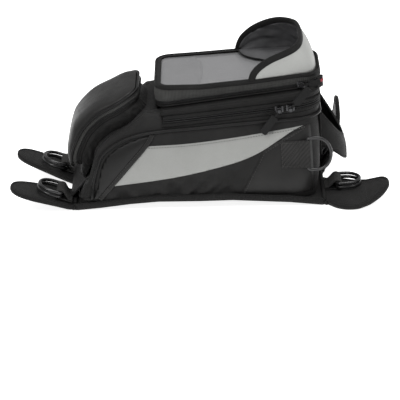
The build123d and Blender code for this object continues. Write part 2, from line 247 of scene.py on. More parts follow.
NYLON = finish_of("woven_nylon", (0.0108, 0.0106, 0.0104), 0.62, "weave", 1.0, 0.5, sheen=0.03)
SOFT = finish_of("creased_nylon", (0.00789, 0.0077, 0.00751), 0.55, "weave", 0.8, 0.4, sheen=0.03)
RIBBED = finish_of("ribbed_tape", (0.00849, 0.00831, 0.00814), 0.7, "ribs", 2.2, 0.8, sheen=0.03)
BAND = finish_of("light_band", (0.0442, 0.0442, 0.0425), 0.7, "ribs", 1.6, 0.9, sheen=0.03)
# Darker nylon for the lid wall and the handle strap. On the lid wall the extra darkness is painted shade
# under the pocket's overhang.
DARK_NYLON_PAINTED_SHADE = finish_of("dark_nylon_painted_shade", (0.0062, 0.006, 0.0058), 0.6, "weave", 0.9, 0.4)
PATENT = finish_of("smooth_leatherette", (0.00585, 0.0057, 0.00555), 0.42, "grain", 0.9, 0.35, specular=0.24,
                   on="Object")
LEATHER = finish_of("satin_leatherette", (0.0134, 0.0131, 0.0128), 0.42, "grain", 0.9, 0.35, specular=0.18,
                    on="Object")
REFLECTIVE = finish_of("silver_cloth", (0.225, 0.228, 0.219), 0.5, "weave", 0.5, 0.12, vary=0.05,
                       specular=0.4)
# The hood panel's cloth is the silver cloth above made lighter. This is painted light for a panel that faces
# up into the lamps.
HOOD_SILVER_PAINTED_LIGHT = finish_of("hood_silver_cloth_painted_light", (0.288, 0.292, 0.281), 0.5, "weave", 0.5, 0.12, vary=0.05,
                        specular=0.3)
WEBBING = finish_of("woven_webbing", (0.0172, 0.0168, 0.0164), 0.68, "twill", 3.0, 1.0, sheen=0.03)
TAPE = finish_of("zip_tape", (0.0104, 0.0101, 0.00988), 0.66, "ribs", 1.0, 0.5)
COIL = finish_of("zip_coil", (0.009, 0.009, 0.009), 0.35, "plain", on="Object")
CORDING = finish_of("piping_cord", (0.00702, 0.0069, 0.00679), 0.4, "grain", 0.6, 0.2, on="Object")
LINING = finish_of("creased_lining", (0.072, 0.072, 0.0744), 0.5, "weave", 0.6, 0.3, sheen=0.03)
THREAD = finish_of("sewing_thread", (0.0432, 0.0432, 0.0418), 0.6, on="Object")
PALE_THREAD = finish_of("pale_thread", (0.0825, 0.0825, 0.0798), 0.6, on="Object")
RING_BLACK = finish_of("black_ring", (0.012, 0.012, 0.0125), 0.3, coat=0.25, specular=0.4, on="Object",
                       depth=0.05)
GUNMETAL = finish_of("gunmetal", (0.052, 0.052, 0.054), 0.3, metal=1.0, on="Object", depth=0.1)
RUBBER = finish_of("pull_rubber", (0.00648, 0.00648, 0.00648), 0.6, "ribs", 2.0, 0.3, on="Object")
RED_RUBBER = finish_of("red_rubber", (0.26, 0.03, 0.03), 0.55, "ribs", 2.0, 0.3, on="Object")
FELT = finish_of("red_mark", (0.22, 0.035, 0.045), 0.7, "weave", 0.5, 0.3)
BOARD = finish_of("dark_board", (0.07, 0.07, 0.07), 0.5, "grain", 1.2, 0.2, on="Object")
PAGE = finish_of("pale_lining_card", (0.26, 0.26, 0.265), 0.5, "plain", vary=0.05, on="Object")
INSERT = finish_of("grey_insert", (0.19, 0.19, 0.195), 0.45, "plain", vary=0.06, on="Object")
CLEAR = finish_of("clear_film", (0.3, 0.3, 0.305), 0.16, vary=0.06, coat=0.35, alpha=0.32, on="Object",
                  depth=0.06, cloudy=14.0)
IRON = finish_of("magnet_plate", (0.1, 0.1, 0.1), 0.45, metal=1.0, on="Object")


# ---- making pieces ----------------------------------------------------------------------
def piece(name, bm, *materials):
    mesh = bpy.data.meshes.new(name)
    bm.to_mesh(mesh)
    bm.free()
    for material in materials:
        mesh.materials.append(material)
    mesh.polygons.foreach_set("use_smooth", [True] * len(mesh.polygons))
    made = bpy.data.objects.new(name, mesh)
    bpy.context.scene.collection.objects.link(made)
    return made


def face_away(bm, centre):
    """Turns an open sheet so that its faces look away from a point, given in millimetres."""
    middle = Vector(centre) * MM
    total = sum((f.calc_center_median() - middle).dot(f.normal) * f.calc_area() for f in bm.faces)
    if total < 0:
        bmesh.ops.reverse_faces(bm, faces=bm.faces)


def laid_grid(place, cells, size, weld):
    """A grid laid out by place(u, v), with its cut size as UV; points nearer than weld become one."""
    bm = bmesh.new()
    bmesh.ops.create_grid(bm, x_segments=cells[0], y_segments=cells[1], size=0.5)
    chart = bm.loops.layers.uv.new("cut")
    for f in bm.faces:
        for corner in f.loops:
            u, v = corner.vert.co.x + 0.5, corner.vert.co.y + 0.5
            corner[chart].uv = (u * size[0] * MM, v * size[1] * MM)
    for v in bm.verts:
        v.co = place(v.co.x + 0.5, v.co.y + 0.5)
    bmesh.ops.remove_doubles(bm, verts=bm.verts, dist=weld * MM)
    return bm


def cloth(name, place, cells, size, material, centre=(0, 0, 80), wall=0.0, lining=None, into=-1.0):
    """A sheet laid out by place(u, v), with a wall thickness if asked."""
    bm = laid_grid(place, cells, size, 0.02)
    bmesh.ops.recalc_face_normals(bm, faces=bm.faces)
    bm.normal_update()
    face_away(bm, centre)
    made = piece(name, bm, material, lining or material)
    if wall:
        thicken(made, wall, into)
    return made


def thicken(made, wall, into=-1.0):
    layer = made.modifiers.new("wall", "SOLIDIFY")
    layer.thickness = wall * MM
    layer.offset = into
    layer.material_offset = 1
    layer.material_offset_rim = 0
    return made


def binding(name, points, normals, wide, high, material, closed=False, swell=2.0):
    """Rounded tape along a line: wide across the normal, high beside it."""
    p = [Vector(q) for q in points]
    n = len(p)
    run = sum((p[(i + 1) % n] - p[i]).length for i in range(n if closed else n - 1))

    def place(u, v):
        f = u * n if closed else u * (n - 1)
        i = int(min(f, n - 1)) % n
        j = (i + 1) % n if closed else min(i + 1, n - 1)
        t = f - int(f)
        here = p[i].lerp(p[j], t)
        ahead = p[(i + 1) % n] if closed else p[min(i + 1, n - 1)]
        back = p[(i - 1) % n] if closed else p[max(i - 1, 0)]
        way = (ahead - back).normalized()
        out = Vector(normals[i]).lerp(Vector(normals[j]), t)
        out = (out - way * out.dot(way)).normalized()
        beside = way.cross(out)
        a = v * 2 * math.pi
        c, s = math.cos(a), math.sin(a)
        c, s = math.copysign(abs(c) ** (2 / swell), c), math.copysign(abs(s) ** (2 / swell), s)
        return (here + out * (wide / 2 * c) + beside * (high / 2 * s)) * MM

    bm = laid_grid(place, (n if closed else n - 1, 10), (run, 2 * (wide + high)), 0.01)
    if not closed:
        rims = [e for e in bm.edges if e.is_boundary]
        bmesh.ops.holes_fill(bm, edges=rims, sides=0)
    bmesh.ops.recalc_face_normals(bm, faces=bm.faces)
    return piece(name, bm, material)


def cording(name, points, radius, material, closed=False, ribbed=0.0):
    """Round cord along a line of millimetre points; ribbed makes every second ring thinner."""
    line = bpy.data.curves.new(name, "CURVE")
    line.dimensions = "3D"
    line.bevel_depth = radius * MM
    line.bevel_resolution = 2
    line.use_fill_caps = not closed
    path = line.splines.new("POLY")
    path.points.add(len(points) - 1)
    for i, q in enumerate(points):
        path.points[i].co = (q[0] * MM, q[1] * MM, q[2] * MM, 1)
        path.points[i].radius = 1 - ribbed * (i % 2)
    path.use_cyclic_u = closed
    holder = bpy.data.objects.new(name + "_line", line)
    bpy.context.scene.collection.objects.link(holder)
    bpy.context.view_layer.update()
    mesh = bpy.data.meshes.new_from_object(holder.evaluated_get(bpy.context.evaluated_depsgraph_get()))
    bpy.data.objects.remove(holder)
    bpy.data.curves.remove(line)
    bm = bmesh.new()
    bm.from_mesh(mesh)
    bpy.data.meshes.remove(mesh)
    bmesh.ops.remove_doubles(bm, verts=bm.verts, dist=0.005 * MM)
    bmesh.ops.recalc_face_normals(bm, faces=bm.faces)
    return piece(name, bm, material)


def stitching(name, rows, material, pitch=3.6, length=2.5, fat=0.42):
    """Thread along rows of (points, normals): one small capsule a stitch."""
    bm = bmesh.new()
    for points, normals in rows:
        p = [Vector(q) for q in points]
        carried = pitch / 2
        for i in range(len(p) - 1):
            step = p[i + 1] - p[i]
            while carried < step.length:
                here = p[i] + step.normalized() * carried
                out = Vector(normals[i]).normalized()
                way = (step - out * step.dot(out)).normalized()
                beside = out.cross(way)
                turn = Matrix((way, beside, out)).transposed().to_4x4()
                size = Matrix.Diagonal((length / 2, fat, fat * 0.8, 1))
                spot = Matrix.Translation((here + out * 0.1) * MM) @ turn @ size @ Matrix.Scale(MM, 4)
                bmesh.ops.create_uvsphere(bm, u_segments=6, v_segments=4, radius=1.0, matrix=spot)
                carried += pitch
            carried -= step.length
    return piece(name, bm, material)


def panel(name, outline, lay, material, step=4.0, puff=0.8, edge=5.0, wall=0.9, centre=(0, 0, 80),
          backing=None):
    """Cut panel: a flat outline is cut into a fine grid and laid in place by lay(a, b, out)."""
    bm = bmesh.new()
    corners = [bm.verts.new((a, b, 0)) for a, b in outline]
    bm.faces.new(corners)
    low = np.min(outline, 0)
    high = np.max(outline, 0)
    for k, way in enumerate((Vector((1, 0, 0)), Vector((0, 1, 0)))):
        for cut in np.arange(math.floor(low[k] / step) * step + step, high[k], step):
            every = bm.verts[:] + bm.edges[:] + bm.faces[:]
            bmesh.ops.bisect_plane(bm, geom=every, plane_co=way * cut, plane_no=way, dist=0.01)
    chart = bm.loops.layers.uv.new("cut")
    for f in bm.faces:
        for corner in f.loops:
            corner[chart].uv = (corner.vert.co.x * MM, corner.vert.co.y * MM)
    a = np.array(outline, float)
    b = np.roll(a, -1, 0)
    run = b - a
    length2 = (run ** 2).sum(1) + 1e-9
    for v in bm.verts:
        q = np.array(v.co[:2])
        t = np.clip(((q - a) * run).sum(1) / length2, 0, 1)
        d = float(np.sqrt((((a + run * t[:, None]) - q) ** 2).sum(1)).min())
        v.co = lay(float(q[0]), float(q[1]), puff * (1 - math.exp(-d / edge)))
    bm.normal_update()
    face_away(bm, centre)
    return thicken(piece(name, bm, material, backing or material), wall)


def show(made, body, slot, *stands_for):
    """The piece moves with a body and stands for CAD nodes; slot is not used."""
    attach(made, body)
    if stands_for:
        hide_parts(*stands_for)
    return made


def bend(made, body, slot, sewn, free, *stands_for):
    """Bakes the piece's placing into its mesh and hides the CAD nodes it stands for; body, slot, sewn and
    free are not used.
    """
    tuple(sewn)
    tuple(free)
    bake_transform(made)
    if stands_for:
        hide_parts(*stands_for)


# ---- the bag's walls --------------------------------------------------------------------
def section(z):
    """Rear X, front X and three half-widths at a height; the taper runs on above the top level."""
    z = min(max(z, 0), 175)
    rows = list(zip(*LEVELS))
    low, high = LEVELS[1], LEVELS[2]
    if z > high[0]:
        t = (z - low[0]) / (high[0] - low[0])
        return [mix(low[k], high[k], t) for k in range(1, 6)]
    return [float(np.interp(z, rows[0], rows[k])) for k in range(1, 6)]


def breadth(x, z):
    """Half-width of the wall before its corners are rounded."""
    rear, front, w_rear, w_mid, w_front = section(z)
    if x < 0:
        return mix(w_mid, w_rear, min(x / rear, 1.2) ** 1.5)
    return mix(w_mid, w_front, x / front)


def half_loop(z):
    """Right-hand half of the plan outline at a height, from the rear middle to the front middle."""
    rear, front = section(z)[:2]
    r0, r1 = REAR_CORNER, FRONT_CORNER
    w0, w1 = breadth(rear + r0, z), breadth(front - r1, z)
    points = [(rear, -y) for y in np.linspace(0, w0 - r0, 9)[:-1]]
    points += [(rear + r0 - r0 * math.cos(a), -(w0 - r0) - r0 * math.sin(a))
               for a in np.linspace(0, math.pi / 2, 9)]
    points += [(x, -breadth(x, z)) for x in np.linspace(rear + r0, front - r1, 92)[1:-1]]
    points += [(front - r1 + r1 * math.sin(a), -(w1 - r1) - r1 * math.cos(a))
               for a in np.linspace(0, math.pi / 2, 15)]
    points += [(front, -y) for y in np.linspace(w1 - r1, 0, 13)[1:]]
    return np.array(points)


HALF = len(half_loop(50))
LOOPS = {}


def loop_at(z):
    key = round(z, 1)
    if key not in LOOPS:
        right = half_loop(key)
        left = right[::-1][1:-1] * [1, -1]
        LOOPS[key] = np.concatenate([right, left])
    return LOOPS[key]


def around(u, z, out=0.0):
    """Point on the wall: u goes once round the bag from the rear middle along the right side."""
    loop = loop_at(z)
    n = len(loop)
    f = (u % 1.0) * n
    i = int(f)
    t = f - i
    a, b = loop[i % n], loop[(i + 1) % n]
    p = a + (b - a) * t
    way = loop[(i + 2) % n] - loop[(i - 1) % n]
    normal = np.array([-way[1], way[0]]) / (np.hypot(*way) + 1e-9)
    if normal @ (p - [5, 0]) < 0:
        normal = -normal
    return float(p[0] + normal[0] * out), float(p[1] + normal[1] * out)


def side_y(x, z):
    """Half-width of the wall with its corners rounded."""
    rear, front = section(z)[:2]
    if x > front - FRONT_CORNER:
        return breadth(front - FRONT_CORNER, z) - corner_cut(front - x, FRONT_CORNER)
    if x < rear + REAR_CORNER:
        return breadth(rear + REAR_CORNER, z) - corner_cut(x - rear, REAR_CORNER)
    return breadth(x, z)


def swell(x, z):
    """How far the padded wall stands proud: a soft belly, and folds under the stripe."""
    low, high = along(ARCH, x) + 5, 108.0
    t = min(max((z - low) / (high - low), 0), 1)
    belly = 3.0 * math.sin(math.pi * t) ** 0.8
    under = along([(-125, 30), (-30, 42), (43, 56), (80, 66), (130, 90)], x)
    mask = min(max((under - z) / 8, 0), 1) * min(max((z - low) / 6, 0), 1) * min(max((70 - x) / 30, 0), 1)
    fold = noise.noise(Vector((x / 17 + z / 30, z / 26, 3.1))) * 5.0
    fold += noise.noise(Vector((x / 8, z / 14 + x / 40, 8.7))) * 2.2
    creases = ((-36, 0.7, 2.2), (-14, 0.5, 2.8), (9, 0.8, 3.2), (33, 1.1, 3.0), (50, 1.0, 1.8))
    for middle, lean, deep in creases:
        fold -= deep * math.exp(-((x - middle - (z - 28) * lean) / 5.5) ** 2)
    return belly + mask * fold


def on_side(x, z, out=0.0, side=-1):
    """Point of the padded side wall at X and Z, raised along the wall's own normal."""
    y0 = side_y(x, z)
    slope_x = (side_y(x + 1, z) - side_y(x - 1, z)) / 2
    slope_z = (side_y(x, z + 1) - side_y(x, z - 1)) / 2
    normal = Vector((-slope_x, 1, -slope_z)).normalized()
    p = Vector((x, y0, z)) + normal * (out + swell(x, z))
    return Vector((p.x, side * p.y, p.z)), Vector((normal.x, side * normal.y, normal.z))


def wall_line(height, rear_x, out, count):
    """Line round the lid or the shell at height(x), from the right rear to the left rear."""
    start = next(i for i in range(HALF) if loop_at(height(rear_x))[i][0] > rear_x) / (2 * HALF - 2)
    line = []
    for t in np.linspace(start, 1 - start, count):
        z = height(0)
        for _ in range(4):
            x, y = around(t, z)
            z = height(x)
        x, y = around(t, z, out)
        line.append(Vector((max(x, rear_x), y, z)))
    return line


def outward(line):
    """Rough outward directions of a line round the bag, for tapes that need one."""
    return [Vector((p.x * 0.35 if abs(p.x) < 150 else p.x, p.y * 1.4, 0)).normalized() + Vector((0, 0, 0.1))
            for p in line]


def between(lines):
    """Place function of a sheet stretched over several lines of equally many points."""
    rows = [np.array([list(p) for p in line]) for line in lines]

    def place(u, v):
        a, b = u * (len(rows[0]) - 1), v * (len(rows) - 1)
        i, j = min(int(a), len(rows[0]) - 2), min(int(b), len(rows) - 2)
        s, t = a - i, b - j
        p = (rows[j][i] * (1 - s) + rows[j][i + 1] * s) * (1 - t)
        p = p + (rows[j + 1][i] * (1 - s) + rows[j + 1][i + 1] * s) * t
        return Vector(p) * MM
    return place


# ---- base -------------------------------------------------------------------------------
def base_half(x):
    half = float(np.interp(x, [BASE_REAR, 0, BASE_FRONT], [85, 103, 111]))
    for end, r in ((BASE_REAR, 3.0), (BASE_FRONT, 4.0)):
        half -= corner_cut(abs(x - end), r)
    return half


def plan_normals(line, closed=False):
    """Outward normals of a plan line of (x, y) points, seen from its own middle."""
    p = np.array([list(q)[:2] for q in line])
    if closed:
        way = np.roll(p, -1, 0) - np.roll(p, 1, 0)
    else:
        way = np.gradient(p, axis=0)
    out = np.stack([way[:, 1], -way[:, 0]], 1)
    away = np.sign(((p - p.mean(0)) * out).sum(1))
    share = np.sign(away.sum())
    return [Vector((a * share, b * share, 0)).normalized() for a, b in out]


def make_base():
    def place(u, v):
        x = mix(BASE_REAR, BASE_FRONT, eased(u))
        return at(x, (2 * v - 1) * base_half(x), along(ARCH, x) + 0.2)
    pad = cloth("base_pad", place, (90, 40), (335, 210), RIBBED, wall=BASE_THICK - 0.4, lining=SOFT)
    show(pad, "bag", "base_fabric", "base_panel")
    xs = [mix(BASE_REAR, BASE_FRONT, eased(t)) for t in np.linspace(0, 1, 90)]
    ring = [(x, -base_half(x)) for x in xs]
    ring += [(BASE_FRONT, y) for y in np.linspace(-104, 104, 16)]
    ring += [(x, base_half(x)) for x in xs[::-1]]
    ring += [(BASE_REAR, y) for y in np.linspace(78, -78, 12)]
    loop = smooth(ring, 300, closed=True)
    line = [Vector((x, y, along(ARCH, x) + 4.8)) for x, y in loop]
    edge = binding("base_edge_tape", line, plan_normals(loop, True), 5.0, 9.2, RIBBED, closed=True, swell=2.6)
    show(edge, "bag", "base_fabric")


# ---- shell ------------------------------------------------------------------------------
def make_shell():
    def top_at(x):
        return along(DECK, x) if x < LID_REAR else zip_z(x) - ZIP_HALF - 0.3

    turn_over = 0.84

    def place(u, v):
        z = 60.0
        for _ in range(7):
            x, y = around(u, z)
            z = top_at(x)
        rear = x < LID_REAR
        roll = 7.0 if rear else 1.5
        reach = (4.0 if x < -128 else 13.0) if rear else 2.0
        low = along(ARCH, x) + BASE_THICK + 0.3
        if v < turn_over:
            height = mix(low, z - roll, v / turn_over)
            x, y = around(u, height, swell(x, height))
            return at(x, y, height)
        k = (v - turn_over) / (1 - turn_over)
        a = min(k / 0.6, 1) * math.pi / 2
        inward = roll * (1 - math.cos(a)) + max(k - 0.6, 0) / 0.4 * reach
        height = z - roll + roll * math.sin(a)
        x, y = around(u, height, swell(x, height) - inward)
        return at(x, y, height)
    shell = cloth("shell_cloth", place, (252, 46), (900, 140), NYLON, wall=3.2, lining=LINING)
    show(shell, "bag", "shell_fabric", "lower_shell")

    deck = smooth(DECK[1:], 46)

    def lay_deck(u, v):
        i, t = int(v * 45), (v * 45) % 1
        x, z = deck[min(i, 44)] * (1 - t) + deck[min(i + 1, 45)] * t
        half = side_y(x, z) - 7
        y = (2 * u - 1) * half
        return at(x, y, z - 0.8 - 1.2 * math.cos(math.pi * (u - 0.5)))
    deck_piece = cloth("deck_cloth", lay_deck, (30, 45), (150, 150), NYLON, wall=2.5, lining=LINING)
    show(deck_piece, "bag", "shell_fabric")

    def lay_floor(u, v):
        x = mix(-149, 152, u)
        return at(x, (2 * v - 1) * (side_y(x, 12) - 4), along(ARCH, x) + BASE_THICK + 3.2)
    floor = cloth("shell_floor", lay_floor, (60, 8), (300, 190), LINING, centre=(0, 0, -80), wall=2.2)
    show(floor, "bag", "shell_fabric")


def side_patch(name, outline, material, slot, side, *stands_for, puff=0.8, lift=0.4):
    def lay(x, z, out):
        return on_side(x, z, lift + out, side)[0] * MM
    show(panel(name, outline, lay, material, puff=puff), "bag", slot, *stands_for)


def seam_row(points, lift, side, count):
    spots = [on_side(x, z, lift, side) for x, z in smooth(points, count)]
    return [p for p, n in spots], [n for p, n in spots]


DIAGONAL = [(-57.5, 102), (-67, 87.5), (-91, 61), (-116, 33.5), (-133, 14.5)]


def make_panels():
    top, low = STRIPE[:4], STRIPE[3:]
    stripe = list(map(tuple, smooth(top, 30)))[:-1] + list(map(tuple, smooth(low, 40)))
    crescent = smooth([(-58, 101), (-82, 95), (-106, 84), (-121.5, 71), (-129, 56), (-134.5, 34), (-141, 15)],
                      30)
    wedge = [(-134, 15), (-116.5, 34), (-68, 87)] + list(map(tuple, crescent))
    corner = [(56, 15), (67, 36), (79, 56.5), (88, 74)] + \
        list(map(tuple, smooth([(90, 75.5), (112, 87.5), (146, 105)], 10))) + [(152, 105), (152, 15)]
    for side, name in ((-1, "right"), (1, "left")):
        stands = ((), (), ())
        if side < 0:
            stands = (["side_stripes"], ["rear_corner_panels"], ["front_corner_panels"])
        side_patch(f"stripe_{name}", stripe, REFLECTIVE, "reflective", side, *stands[0], puff=0.7)
        side_patch(f"wedge_{name}", wedge, PATENT, "leatherette", side, *stands[1], puff=2.2, lift=0.3)
        side_patch(f"front_corner_{name}", corner, LEATHER, "leatherette", side, *stands[2], puff=1.0,
                   lift=0.2)
        points, normals = seam_row(DIAGONAL, 1.2, side, 60)
        band = binding(f"diagonal_band_{name}", points, normals, 1.6, 6.5, LEATHER, swell=3)
        show(band, "bag", "leatherette")
        rows = [seam_row([(x + 1.5, z - 2.6) for x, z in STRIPE[:4]], 1.35, side, 80)]
        thread = stitching(f"stripe_stitches_{name}", rows, PALE_THREAD, pitch=3.6, length=2.2, fat=0.5)
        show(thread, "bag", "reflective")
        dark = [seam_row([(x + d, z) for x, z in DIAGONAL], 2.1, side, 60) for d in (-2.6, 2.6)]
        dark.append(seam_row([(60.5, 18), (70, 36), (82, 56.5), (90, 71)], 1.3, side, 30))
        dark.append(seam_row([(91, 72), (113, 84.5), (143, 101)], 1.4, side, 30))
        thread = stitching(f"panel_stitches_{name}", dark, THREAD)
        show(thread, "bag", "leatherette")


def mirrored(line):
    return [Vector((p[0], -p[1], p[2])) for p in line][::-1]


def make_piping():
    side = [on_side(x, z, 1.6)[0] for x, z in smooth([(-143, 18)] + PIPING[::-1][:-1], 120)]
    front = wall_line(lambda x: 114 + (x - 126) * 0.054, 129.0, 1.6, 50)
    rear = [Vector((*around(u, 15.0, 2.0), 15.0)) for u in np.linspace(-0.13, 0.13, 140)]
    rear = [p for p in rear if p.x < -146]
    loop = side + front + mirrored(side) + rear
    loop = [Vector(p) for p in smooth(loop, 420, closed=True)]
    cord = cording("side_piping_cord", loop, 2.2, CORDING, closed=True)
    show(cord, "bag", "piping", "side_piping")


# ---- main zip and lid -------------------------------------------------------------------
def zip_tape(name, low, high, body, node_name):
    lines = [wall_line(lambda x, k=k: zip_z(x) + k, LID_REAR, out, 150)
             for k, out in ((low, 0.6), (low * 0.6 + high * 0.4, 0.3), (high, -0.4))]
    tape = cloth(name, between(lines), (149, 4), (590, 7), TAPE, wall=1.4)
    show(tape, body, "zip_tape", node_name)


def make_zip_and_lid():
    zip_tape("zip_tape_lower", -ZIP_HALF - 0.3, -0.5, "bag", "main_zip_lower")
    zip_tape("zip_tape_upper", ZIP_HALF + 0.3, 0.5, "lid", "main_zip_upper")
    for name, lift, body in (("zip_coil_lower", -1.35, "bag"), ("zip_coil_upper", 1.35, "lid")):
        line = wall_line(lambda x: zip_z(x) + lift, LID_REAR + 1, 0.5, 720)
        show(cording(name, line, 1.25, COIL, ribbed=0.3), body, "zip_tape")
    for name, lift, body in (("zip_fold_lower", -4.6, "bag"), ("zip_fold_upper", 4.8, "lid")):
        line = wall_line(lambda x: zip_z(x) + lift, LID_REAR + 1, 0.9, 220)
        show(binding(name, line, outward(line), 2.6, 4.4, RIBBED, swell=2.4), body, "zip_tape")

    def ring(height, out):
        line = wall_line(height, LID_REAR, out, 180)
        a, b = line[-1], line[0]
        rear = [a.lerp(b, t) for t in np.linspace(0, 1, 42)[1:]]
        return line + rear

    def spine():
        line = ring(floor_z, -6)
        return [Vector((min(max(p.x, -20), 130), 0, floor_z(p.x) - 0.2)) for p in line]
    lines = [ring(lambda x: zip_z(x) + ZIP_HALF + 0.4, 0.2), ring(lambda x: zip_z(x) + 10, 1.0),
             ring(lambda x: mix(zip_z(x), floor_z(x), 0.75), 1.2)]
    for down, out in ((3.6, 0.6), (1.4, -0.4), (0.4, -2.2), (0.0, -4.5), (0.0, -8)):
        lines.append(ring(lambda x: floor_z(x) - down, out))
    lines.append(spine())
    # The lid wall's darker cloth is painted shade under the pocket's overhang.
    lid = cloth("lid_cloth", between(lines), (220, 32), (620, 80), DARK_NYLON_PAINTED_SHADE, centre=(60, 0, 60), wall=2.0,
                lining=LINING)
    show(lid, "lid", "shell_fabric", "lid_shell")


# ---- map pocket -------------------------------------------------------------------------
def frame_loop(spec, inset=0.0, parts=(34, 12, 60, 14, 34)):
    """Round-cornered plan loop: closed list of (x, y, outward x, outward y)."""
    rear, front, half, r0, r1 = spec
    rear, front, half = rear + inset, front - inset, half - inset
    r0, r1 = max(r0 - inset, 1.5), max(r1 - inset, 1.5)
    right = [(rear, -y, -1, 0) for y in np.linspace(0, half - r0, parts[0] // 2)[:-1]]
    right += [(rear + r0 - r0 * math.cos(a), -(half - r0) - r0 * math.sin(a), -math.cos(a), -math.sin(a))
              for a in np.linspace(0, math.pi / 2, parts[1])]
    right += [(x, -half, 0, -1) for x in np.linspace(rear + r0, front - r1, parts[2])[1:-1]]
    right += [(front - r1 + r1 * math.sin(a), -(half - r1) - r1 * math.cos(a), math.sin(a), -math.cos(a))
              for a in np.linspace(0, math.pi / 2, parts[3])]
    right += [(front, -y, 1, 0) for y in np.linspace(half - r1, 0, parts[4] // 2)[1:]]
    left = [(x, -y, nx, -ny) for x, y, nx, ny in right[::-1][1:-1]]
    return right + left


def raised(loop, height, out=0.0, closed=True):
    line = [Vector((x + nx * out, y + ny * out, height(x, y))) for x, y, nx, ny in loop]
    return line + line[:1] if closed else line


def make_pocket():
    loop = frame_loop(POCKET)
    count = len(loop)

    def over_floor(lift):
        return lambda x, y: floor_z(x) + lift
    lines = [raised(frame_loop(POCKET, k), over_floor(1.4)) for k in (0.4, 20, 40, 60)]
    back = cloth("pocket_back_cloth", between(lines), (count, 6), (560, 60), SOFT, centre=(60, 0, 0),
                 wall=1.0)
    show(back, "lid", "shell_fabric", "pocket_back")
    low = [raised(loop, over_floor(lift), out) for lift, out in ((2.0, 0.5), (4.0, 1.0), (5.7, 0.4))]
    show(cloth("pocket_tape_lower", between(low), (count, 4), (560, 4), TAPE, centre=(60, 0, 145), wall=1.4),
         "lid", "zip_tape", "pocket_zip_lower")
    high = []
    for k in np.linspace(0, 1, 7):
        bulge = 0.4 + 1.6 * math.sin(math.pi * k)
        high.append(raised(loop, lambda x, y: mix(floor_z(x) + 6.6, top_z(x, y) - 2.4, k), bulge))
    show(cloth("pocket_gusset", between(high), (count, 12), (560, 16), BAND, centre=(60, 0, 145), wall=1.4),
         "pocket_lid", "zip_tape", "pocket_zip_upper")
    half = next(i for i, p in enumerate(loop) if p[0] > 150)
    run = loop[-half:] + loop[:half]
    for name, lift, body in (("pocket_coil_lower", 5.3, "lid"), ("pocket_coil_upper", 7.2, "pocket_lid")):
        line = smooth([Vector((x + nx * 0.9, y + ny * 0.9, floor_z(x) + lift)) for x, y, nx, ny in run], 560)
        show(cording(name, line, 1.0, COIL, ribbed=0.3), body, "zip_tape")
    seam = [Vector((x + nx * 0.6, y + ny * 0.6, floor_z(x) + 1.4)) for x, y, nx, ny in loop]
    show(cording("pocket_base_piping", seam, 1.5, CORDING, closed=True), "lid", "piping")

    hole = frame_loop(WINDOW)
    outer, inner = raised(loop, top_z), raised(hole, top_z)
    rows = []
    for k, lift in ((0, -2.2), (0.02, -0.6), (0.12, 0.2), (0.35, 0.5), (0.7, 0.4), (1, -0.4)):
        rows.append([a.lerp(b, k) + Vector((0, 0, lift)) for a, b in zip(outer, inner)])
    show(cloth("pocket_frame_cloth", between(rows), (count, 15), (560, 30), SOFT, centre=(60, 0, 0),
               wall=1.8), "pocket_lid", "binding", "pocket_frame")
    edge = [Vector((x, y, top_z(x, y) - 0.8)) for x, y, nx, ny in loop]
    out = [Vector((nx, ny, 0.25)) for x, y, nx, ny in loop]
    show(binding("pocket_edge_tape", edge, out, 3.4, 5.6, RIBBED, closed=True, swell=2.3), "pocket_lid",
         "binding")
    rim = frame_loop(WINDOW, -2.0)
    edge = [Vector((x, y, top_z(x, y) + 0.8)) for x, y, nx, ny in rim]
    up = [Vector((0, 0, 1))] * len(edge)
    show(binding("window_tape", edge, up, 1.5, 6.0, RIBBED, closed=True, swell=2.6), "pocket_lid", "binding",
         "window_binding")

    def film(u, v):
        x, y = mix(-47.5, 131, u), mix(-62.5, 62.5, v)
        wave = 0.5 * noise.noise(Vector((x / 55, y / 38, 2.0)))
        wave += 0.15 * noise.noise(Vector((x / 14, y / 20, 5.0)))
        return at(x, y, top_z(x, y) - 1.0 + 1.3 * wave)
    show(cloth("window_film", film, (56, 40), (171, 123), CLEAR, centre=(60, 0, 0), wall=0.4), "pocket_lid",
         "clear_film", "window_pane")

    def sheet_at(x, y, down):
        return at(x, y, top_z(x, y) - down - 0.8 * math.sin(math.pi * (y + 60) / 120))
    page = cloth("map_sheet", lambda u, v: sheet_at(mix(-47, 125, u), mix(-61, 61, v), 4.0), (30, 20),
                 (166, 122), PAGE, centre=(60, 0, 0), wall=0.5)
    show(page, "pocket_lid", "board_grey")

    def tongue(u, v):
        y = mix(-60.5, 60.5, v)
        end = 12 - 4.5 * (abs(y - 8) / 52) ** 2 - (5.5 if y > 44 else 0) * min((y - 44) / 6, 1)
        return sheet_at(mix(-47, end, u), y, 2.6)
    show(cloth("map_tongue", tongue, (12, 60), (48, 121), INSERT, centre=(60, 0, 0), wall=0.8), "lid",
         "board_grey", "map_divider")


# ---- sun hood ---------------------------------------------------------------------------
HOOD_EDGE = [(77, -66, 163.5), (80, -67, 174), (89, -67, 184), (105, -65.5, 193), (125, -62, 200),
             (139, -55, 206), (145, -38, 211.5), (145, 0, 215), (140, 28, 216), (124, 45, 216),
             (106, 55, 211.5), (86, 62, 202), (70, 65.5, 189), (63, 66.5, 176), (61, 66.5, 164)]
HOOD_BASE = [(77, -66.5, 163), (100, -66.5, 166), (132, -66, 168.5), (150, -61, 168.5), (160, -49, 168),
             (164, -30, 167.5), (165, 0, 167), (164, 30, 167), (160, 49, 167), (150, 61, 168),
             (132, 66, 169.5), (100, 66.5, 170), (61, 66.5, 168)]


